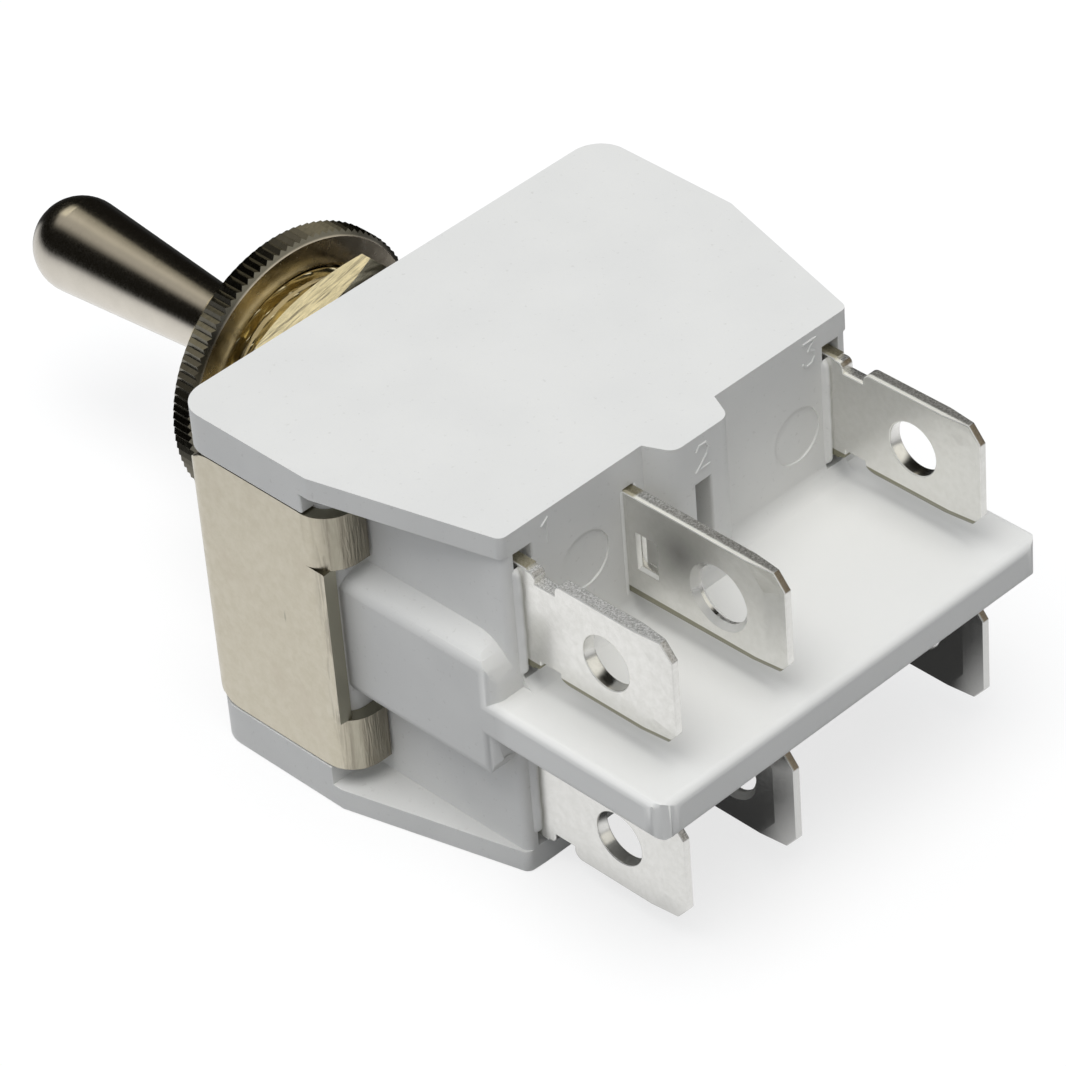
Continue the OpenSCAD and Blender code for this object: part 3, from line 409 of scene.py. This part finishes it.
finishes = {
    "housing": mouldedPlastic(),
    "carrier": darkMoulding(),
    "bracket": nickelSheet(),
    "terminal": tinPlate(),
    "bushing": polishedMetal("brightThread", (0.84, 0.75, 0.50), 0.16, waveLift=0.05 * mm),
    "nut": polishedMetal("brightNickel", (0.90, 0.83, 0.62), 0.22, waveLift=0.05 * mm),
    "knurled_nut": polishedMetal("darkNickel", (0.60, 0.54, 0.45), 0.24,
                                 rim=(7.85 * mm, 7.95 * mm, (0.17, 0.16, 0.13))),
    "lever": polishedMetal("leverNickel", (0.66, 0.62, 0.55), 0.21, streak=0.10 * mm, lift=0.002 * mm,
                           shade=0.95),
    "steel": polishedMetal("plainSteel", (0.60, 0.60, 0.60), 0.30),
    "plunger": polishedMetal("plungerBrass", (0.78, 0.62, 0.34), 0.28),
    "rocker": polishedMetal("rockerStrip", (0.80, 0.55, 0.36), 0.30),
    "contact": polishedMetal("silverRivet", (0.88, 0.87, 0.84), 0.25),
}
slotOf = {part["node"]: part["material_slot"] for part in frame["record"]["subparts"]}


def dress(thing, material):
    thing.data.materials.clear()
    thing.data.materials.append(material)


for name, node in nodes.items():
    dress(node, finishes[slotOf[name]])
print("finishes made:", len(finishes))


# softened copies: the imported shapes, their sharp outer edges eased as moulding and tumbling leave them
easing = {"housing": 0.20 * mm, "bracket": 0.10 * mm, "back_nut": 0.12 * mm}
easing.update({name: 0.07 * mm for name in nodes if name.startswith("terminal_")})
softness = {"steps": 3, "sharp": 26, "stillSharp": 36, "crease": 4.5, "creaseLength": 1.2 * mm, "room": 3.5,
            "broad": 3, "weld": 0.002 * mm, "flat": 0.4, "stray": 0.5, "folded": 0.35, "least": 0.2,
            "rounds": 16, "sliver": 1e-9, "byArea": 50}


def roomBeside(edge):
    # how far the faces beside an edge both reach, square to it
    start = edge.verts[0].co
    along = (edge.verts[1].co - start).normalized()
    return min(max((v.co - start - along * (v.co - start).dot(along)).length for v in face.verts)
               for face in edge.link_faces)


def settled(mesh, kind, settings):
    # a new mesh with this modifier worked in
    holder = bpy.data.objects.new("holder", mesh)
    bpy.context.scene.collection.objects.link(holder)
    modifier = holder.modifiers.new(kind, kind)
    for key, value in settings.items():
        setattr(modifier, key, value)
    bpy.context.view_layer.update()
    made = bpy.data.meshes.new_from_object(holder.evaluated_get(bpy.context.evaluated_depsgraph_get()))
    bpy.data.objects.remove(holder)
    return made


def placePiece(name, mesh, node):
    piece = bpy.data.objects.new(name, mesh)
    bpy.context.scene.collection.objects.link(piece)
    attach(piece, nodes[node]["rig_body"])
    dress(piece, finishes[slotOf[node]])
    return piece


def spoiltFaces(made, shape, width):
    # faces of the original beside which an eased mesh strays, or folds over
    made.calc_loop_triangles()
    spoilt = set()
    for triangle in made.loop_triangles:
        if triangle.area > softness["sliver"]:
            middle = sum((made.vertices[v].co for v in triangle.vertices), Vector()) / 3
            near, normal, face, distance = shape.find_nearest(middle)
            if distance > softness["stray"] * width or normal.dot(triangle.normal) < softness["folded"]:
                spoilt.update(shape.find_nearest(made.vertices[v].co)[2] for v in triangle.vertices)
                spoilt.add(face)
    return spoilt


roll = {"height": 0.40 * mm, "depth": 0.15 * mm, "blade": -23 * mm, "core": 0.1 * mm}


def rollEdge(mesh):
    # blanking leaves the lower edge of each upper blade rolled over on its -X face:
    # x moves in by depth * (share of the height below the roll's upper line)
    work = bmesh.new()
    work.from_mesh(mesh)
    blade = [v.co for v in work.verts if v.co.y < roll["blade"]]
    foot = min(co.z for co in blade)
    middle = (min(co.x for co in blade) + max(co.x for co in blade)) / 2
    top = foot + roll["height"]
    bmesh.ops.bisect_plane(work, geom=[*work.verts, *work.edges, *work.faces], dist=0.001 * mm,
                           plane_co=(0, 0, top), plane_no=(0, 0, 1))
    for vert in work.verts:
        if vert.co.y < roll["blade"] and vert.co.x < middle - roll["core"] and vert.co.z < top:
            vert.co.x += roll["depth"] * (top - vert.co.z) / roll["height"]
    work.to_mesh(mesh)
    work.free()


def markSharp(mesh, width):
    # faces meet softly, but for steep edges and the long shallow creases between broad faces
    mesh.shade_smooth()
    work = bmesh.new()
    work.from_mesh(mesh)
    for edge in work.edges:
        if len(edge.link_faces) != 2:
            continue
        turn = math.degrees(edge.calc_face_angle())
        broad = roomBeside(edge) > softness["broad"] * width
        long = edge.calc_length() > softness["creaseLength"]
        edge.smooth = not (turn > softness["stillSharp"] or (turn > softness["crease"] and broad and long))
    work.to_mesh(mesh)
    work.free()


def easedCopy(node, width):
    # edges are eased less, in halves, round any face that would be spoilt, until the shape is sound
    plain = nodes[node].data.copy()
    if "custom_normal" in plain.attributes:
        plain.attributes.remove(plain.attributes["custom_normal"])
    work = bmesh.new()
    work.from_mesh(plain)
    bmesh.ops.remove_doubles(work, verts=work.verts, dist=softness["weld"])
    bmesh.ops.dissolve_limit(work, angle_limit=math.radians(softness["flat"]), verts=work.verts,
                             edges=work.edges)
    shape = BVHTree.FromBMesh(work)
    weight = work.edges.layers.float.new("bevel_weight_edge")
    work.faces.ensure_lookup_table()
    for edge in work.edges:
        if len(edge.link_faces) == 2 and edge.is_convex:
            steep = edge.calc_face_angle() > math.radians(softness["sharp"])
            if steep and roomBeside(edge) > softness["room"] * width:
                edge[weight] = 1.0
    for attempt in range(softness["rounds"]):
        work.to_mesh(plain)
        made = settled(plain, "BEVEL", {"limit_method": "WEIGHT", "width": width,
                                        "segments": softness["steps"], "use_clamp_overlap": False,
                                        "miter_outer": "MITER_ARC"})
        spoilt = spoiltFaces(made, shape, width)
        beside = {edge for face in spoilt for edge in work.faces[face].edges if edge[weight] > 0}
        if not beside:
            break
        for edge in beside:
            edge[weight] = edge[weight] / 2 if edge[weight] > softness["least"] else 0.0
    kept = sum(e.calc_length() * e[weight] for e in work.edges)
    work.free()
    if node.startswith("terminal_") and node.endswith("_upper"):
        rollEdge(made)
    markSharp(made, width)
    final = settled(made, "WEIGHTED_NORMAL", {"keep_sharp": True, "weight": softness["byArea"]})
    final.name = node + "Eased"
    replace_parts(placePiece(node + "Eased", final, node), node)
    return attempt, len(spoilt), round(kept / mm, 1), len(final.polygons)


for name, width in easing.items():
    print("eased", name, *easedCopy(name, width))


def shortenedSpring(side):
    # a copy of the imported spring, at its full length, in place of it
    node = "spring_" + side
    piece = placePiece("coil_" + side, nodes[node].data.copy(), node)
    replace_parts(piece, node)
    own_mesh(piece)


shortenedSpring("upper")
shortenedSpring("lower")
print("springs made")


def gridFaces(rows, columns):
    # four-sided faces between neighbouring points of a grid kept row by row
    r, c = np.meshgrid(np.arange(rows - 1), np.arange(columns - 1), indexing="ij")
    return (r * columns + c).reshape(-1, 1) + np.array([0, columns, columns + 1, 1])


def joinedMesh(name, parts):
    # one mesh of several grids, each its points and its faces
    mesh = bpy.data.meshes.new(name)
    starts = np.cumsum([0] + [len(points) for points, faces in parts])
    mesh.from_pydata(np.vstack([points for points, faces in parts]).tolist(), [],
                     np.vstack([faces + start for (points, faces), start in zip(parts, starts)]).tolist())
    return mesh


# thread of the bushing, in place of its plain outer skin
thread = {"crest": 5.99 * mm, "root": 5.50 * mm, "pitch": 1.0 * mm, "length": 11.8 * mm,
          "chamfer": 0.6 * mm, "edge": 6.0 * mm, "start": 0.02 * mm, "round": 160, "rows": 236,
          "flank": 0.34, "near": 0.01 * mm, "weld": 0.001 * mm, "sharp": 30}


def threadSkin():
    # radius = root + depth * tooth, where tooth is a trapezium wave of (height / pitch - turn)
    n = thread["round"]
    turn = np.linspace(0, 1, n + 1)[:-1]
    height = np.linspace(thread["start"], thread["length"], thread["rows"])
    wave = np.abs(((height[:, None] / thread["pitch"] - turn[None, :]) % 1.0) - 0.5) * 2
    tooth = np.clip((wave - 0.5) / thread["flank"] + 0.5, 0, 1)
    radius = thread["root"] + (thread["crest"] - thread["root"]) * tooth
    top = thread["edge"] - thread["chamfer"] + (thread["length"] - height)
    radius = np.minimum(radius, top[:, None])
    angle = 2 * np.pi * turn[None, :]
    points = np.stack([radius * np.cos(angle), np.broadcast_to(height[:, None], radius.shape),
                       radius * np.sin(angle)], axis=-1).reshape(-1, 3)
    rows, across = np.meshgrid(np.arange(thread["rows"] - 1), np.arange(n), indexing="ij")
    beside = (across + 1) % n
    faces = np.stack([rows * n + across, (rows + 1) * n + across, (rows + 1) * n + beside, rows * n + beside],
                     axis=-1).reshape(-1, 4)
    return points, faces


def threadedBushing():
    source = nodes["bushing"].data
    spots = np.empty(len(source.vertices) * 3)
    source.vertices.foreach_get("co", spots)
    spots = spots.reshape(-1, 3)
    outward = np.hypot(spots[:, 0], spots[:, 2])
    near = thread["near"]
    skin = (outward > thread["edge"] - thread["chamfer"] - near) & (spots[:, 1] > -near)
    kept = [list(f.vertices) for f in source.polygons
            if not (skin[list(f.vertices)].all() and np.ptp(spots[list(f.vertices), 1]) > near)]
    points, faces = threadSkin()
    mesh = bpy.data.meshes.new("threadedBushing")
    mesh.from_pydata(np.vstack([spots, points]).tolist(), [], kept + (faces + len(spots)).tolist())
    work = bmesh.new()
    work.from_mesh(mesh)
    bmesh.ops.remove_doubles(work, verts=work.verts, dist=thread["weld"])
    bmesh.ops.delete(work, geom=[v for v in work.verts if not v.link_faces], context="VERTS")
    work.to_mesh(mesh)
    work.free()
    mesh.shade_smooth()
    mesh.set_sharp_from_angle(angle=math.radians(thread["sharp"]))
    piece = placePiece("threadedBushing", mesh, "bushing")
    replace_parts(piece, "bushing")
    return len(mesh.polygons)


print("thread made:", threadedBushing(), "faces")


# beads of housing plastic staked against both faces of the tabs: a ridge along each outer tab, and only
# a film along the middle one
bead = {"wall": 20.40 * mm, "inside": 0.36 * mm, "rows": 90, "steps": 7, "skirt": 0.8, "sharp": 50,
        "ridge": {"tabs": ("right", "left"), "foot": 0.80 * mm, "crest": 0.50 * mm, "proud": 0.36 * mm,
                  "from": 1.9 * mm, "to": 8.5 * mm, "ripple": 0.03 * mm},
        "film": {"tabs": ("middle",), "foot": 0.62 * mm, "crest": 0.44 * mm, "proud": 0.10 * mm,
                 "from": 2.1 * mm, "to": 8.9 * mm, "ripple": 0.01 * mm}}


def beadSkin(tab, side, half, way):
    # across from the foot on the wall to the crest: x = foot + (crest - foot) * u, proud * sin(90 u) deg;
    # then straight down along the tab. Along Z both ends run out as 1 - (2 t - 1) ** 16
    t = np.linspace(0, 1, bead["rows"])
    u = np.linspace(0, 1, bead["steps"])
    runOut = 1 - (2 * t - 1) ** 16
    ripple = way["ripple"] * np.sin(9 * t + 2 * side) * np.sin(23 * t + side) * runOut
    across = way["foot"] + (way["crest"] + ripple[:, None] - way["foot"]) * u[None, :]
    height = (way["proud"] * runOut + ripple)[:, None] * np.sin(np.pi / 2 * u)[None, :]
    across = np.hstack([across, np.full((len(t), 1), bead["inside"])])
    height = np.hstack([height, height[:, -1:] * bead["skirt"]])
    up = np.broadcast_to((way["from"] + (way["to"] - way["from"]) * t)[:, None], across.shape)
    grid = np.stack([tab + side * across, -bead["wall"] - height, half * up], axis=-1)
    faces = gridFaces(*across.shape)
    return grid.reshape(-1, 3), faces if side * half > 0 else faces[:, ::-1]


def stakedBeads():
    mesh = joinedMesh("stakedBeads", [beadSkin(tabX[tab], side, half, way)
                                      for way in (bead["ridge"], bead["film"]) for tab in way["tabs"]
                                      for side in (1, -1) for half in (1, -1)])
    mesh.shade_smooth()
    mesh.set_sharp_from_angle(angle=math.radians(bead["sharp"]))
    placePiece("stakedBeads", mesh, "housing")


stakedBeads()
print("beads made")


# plain raised numbers on the end face, one above each pair of tabs
numbers = {"width": 0.20 * mm, "lift": 0.06 * mm, "sink": 0.03 * mm, "size": 1.45 * mm,
           "strokes": {"one": [(-0.22, 0.28), (0.05, 0.5), (0.05, -0.5)],
                       "two": [(-0.3, 0.28), (-0.15, 0.48), (0.15, 0.48), (0.3, 0.25), (0.22, 0.0),
                               (-0.3, -0.5), (0.33, -0.5)],
                       "three": [(-0.3, 0.5), (0.3, 0.5), (-0.02, 0.12), (0.24, -0.02), (0.3, -0.25),
                                 (0.12, -0.47), (-0.15, -0.5), (-0.32, -0.32)]},
           "places": [("one", -9.3 * mm, -20.45 * mm, 9.55 * mm), ("two", 0.0, -22.05 * mm, 9.45 * mm),
                      ("three", 9.4 * mm, -20.45 * mm, 9.55 * mm)]}


def raisedNumber(label, x, y, z, flip):
    # a ridge of trapezium section along the stroke: base wide and sunk, top narrow and lifted
    path = np.array(numbers["strokes"][label]) * numbers["size"]
    along = np.diff(path, axis=0)
    along /= np.linalg.norm(along, axis=1)[:, None]
    before = np.vstack([along[:1], along])
    after = np.vstack([along, along[-1:]])
    mid = before + after
    mid /= np.linalg.norm(mid, axis=1)[:, None]
    side = np.stack([-mid[:, 1], mid[:, 0]], axis=1)
    side /= np.clip(np.sum(mid * after, axis=1), 0.5, 1)[:, None]
    wide, narrow = numbers["width"] / 2, numbers["width"] / 4
    lanes = [(path + side * wide, numbers["sink"]), (path + side * narrow, -numbers["lift"]),
             (path - side * narrow, -numbers["lift"]), (path - side * wide, numbers["sink"])]
    n = len(path)
    points = np.vstack([np.stack([x + lane[:, 0], np.full(n, y + depth), flip * (z + lane[:, 1])], axis=1)
                        for lane, depth in lanes])
    ends = np.array([[0, n, 2 * n, 3 * n], [4 * n - 1, 3 * n - 1, 2 * n - 1, n - 1]])
    faces = np.vstack([gridFaces(len(lanes), n)[:, [0, 3, 2, 1]], ends])
    return points, faces if flip > 0 else faces[:, ::-1]


def allNumbers():
    mesh = joinedMesh("raisedNumbers", [raisedNumber(*place, flip)
                                        for place in numbers["places"] for flip in (1, -1)])
    mesh.update()
    placePiece("raisedNumbers", mesh, "housing")


allNumbers()
print("numbers made")


def glowing(tree, strength):
    return addNode(tree, "ShaderNodeEmission", None, {"Strength": strength}).outputs[0]


def mixShader(tree, factor, a, b):
    return addNode(tree, "ShaderNodeMixShader", None, {0: factor, 1: a, 2: b}).outputs[0]


tableTop = {"size": 8.0, "tone": 0.28, "glow": 0.735, "paper": 1.0, "shade": 0.05, "farX": (2 * mm, 9 * mm),
            "farY": (-6 * mm, 4 * mm), "underX": (14 * mm, 10 * mm),
            "underY": (-31 * mm, -27 * mm, 0, 4 * mm), "falling": (30 * mm, 150 * mm, 1, 0.25)}


def laidTable():
    # metal sees a white sheet round the near sides of the switch, its shadow under the body, and a dark
    # room beyond
    low = cadBox[0][2]
    half = tableTop["size"] / 2
    mesh = bpy.data.meshes.new("table")
    mesh.from_pydata([(-half, -half, low), (half, -half, low), (half, half, low), (-half, half, low)], [],
                     [(0, 1, 2, 3)])
    table = bpy.data.objects.new("table", mesh)
    bpy.context.scene.collection.objects.link(table)
    material, tree, shader = startMaterial("paleTable")
    tone = tableTop["tone"]
    shader.inputs["Base Color"].default_value = (tone, tone, tone, 1)
    shader.inputs["Roughness"].default_value = 1
    shader.inputs["Specular IOR Level"].default_value = 0
    path = addNode(tree, "ShaderNodeLightPath").outputs
    seen = math2(tree, "MAXIMUM", path["Is Camera Ray"], path["Is Transmission Ray"])
    both = addNode(tree, "ShaderNodeAddShader", None,
                   {0: shader.outputs[0], 1: glowing(tree, times(tree, seen, tableTop["glow"]))})
    point = objectPoint(tree)
    x, y, z = axes(tree, point)
    beyond = times(tree, ramp(tree, x, *tableTop["farX"]), ramp(tree, y, *tableTop["farY"]))
    under = times(tree, ramp(tree, absolute(tree, x), *tableTop["underX"]),
                  band(tree, y, *tableTop["underY"]))
    dark = math2(tree, "MAXIMUM", beyond, under)
    away = vectorMath(tree, "LENGTH", point)["Value"]
    lit = times(tree, ramp(tree, dark, 0, 1, tableTop["paper"], tableTop["shade"]),
                ramp(tree, away, *tableTop["falling"]))
    surface = mixShader(tree, path["Is Glossy Ray"], both.outputs[0], glowing(tree, lit))
    tree.links.new(surface, tree.nodes["Material Output"].inputs["Surface"])
    dress(table, material)


lampLook = {"tone": (1.0, 0.995, 0.975), "power": 2.0, "spread": 50, "tilt": (6, -10, 0)}


def hangLamp():
    data = bpy.data.lights.new("softLamp", "SUN")
    data.energy = lampLook["power"]
    data.angle = math.radians(lampLook["spread"])
    data.color = lampLook["tone"]
    lamp = bpy.data.objects.new("softLamp", data)
    bpy.context.scene.collection.objects.link(lamp)
    lamp.rotation_euler = [math.radians(a) for a in lampLook["tilt"]]
    lamp.visible_glossy = False


room = {"fill": (0.375, 0.39, 0.415, 1), "lean": (-0.28, 0.42, 0.14), "wall": (0.008, 0.007, 0.005, 1),
        "ceilingX": (-0.52, -0.28, 0.08, 0.36), "upZ": (0.55, 0.70), "ceiling": (0.50, 0.47, 0.41, 1),
        "windowX": (-0.05, 0.02, 0.38, 0.46), "windowY": (0.555, 0.590), "window": (1.05, 0.98, 0.78, 1),
        "frontY": (-0.25, -0.45), "front": (0.95, 0.93, 0.86, 1), "backdrop": (1, 1, 1, 1)}


def wrapSurroundings():
    # diffuse light is soft and faintly blue, 1 + direction . lean strong; polished metal sees a dim room
    # with one lit strip of ceiling, a window past it, and a bright wall behind the viewer
    world = bpy.data.worlds.new("room")
    bpy.context.scene.world = world
    world.use_nodes = True
    tree = world.node_tree
    even = tree.nodes["Background"]
    even.inputs["Color"].default_value = room["fill"]
    direction = addNode(tree, "ShaderNodeTexCoord").outputs["Generated"]
    x, y, z = axes(tree, direction)
    leaning = vectorMath(tree, "DOT_PRODUCT", direction, room["lean"])["Value"]
    tree.links.new(math2(tree, "ADD", leaning, 1.0), even.inputs["Strength"])
    ceiling = times(tree, ramp(tree, z, *room["upZ"]), band(tree, x, *room["ceilingX"]))
    tone = blendColour(tree, ceiling, room["wall"], room["ceiling"])
    window = times(tree, times(tree, ramp(tree, y, *room["windowY"]), ramp(tree, z, *room["upZ"])),
                   band(tree, x, *room["windowX"]))
    tone = blendColour(tree, window, tone, room["window"])
    tone = blendColour(tree, ramp(tree, y, *room["frontY"]), tone, room["front"])
    mirrored, white = (addNode(tree, "ShaderNodeBackground", None, {"Color": colour}).outputs[0]
                       for colour in (tone, room["backdrop"]))
    path = addNode(tree, "ShaderNodeLightPath").outputs
    first = mixShader(tree, path["Is Glossy Ray"], even.outputs[0], mirrored)
    last = mixShader(tree, path["Is Camera Ray"], first, white)
    tree.links.new(last, tree.nodes["World Output"].inputs["Surface"])


laidTable()
hangLamp()
wrapSurroundings()
bpy.context.scene.view_settings.view_transform = "Standard"
print("studio set")
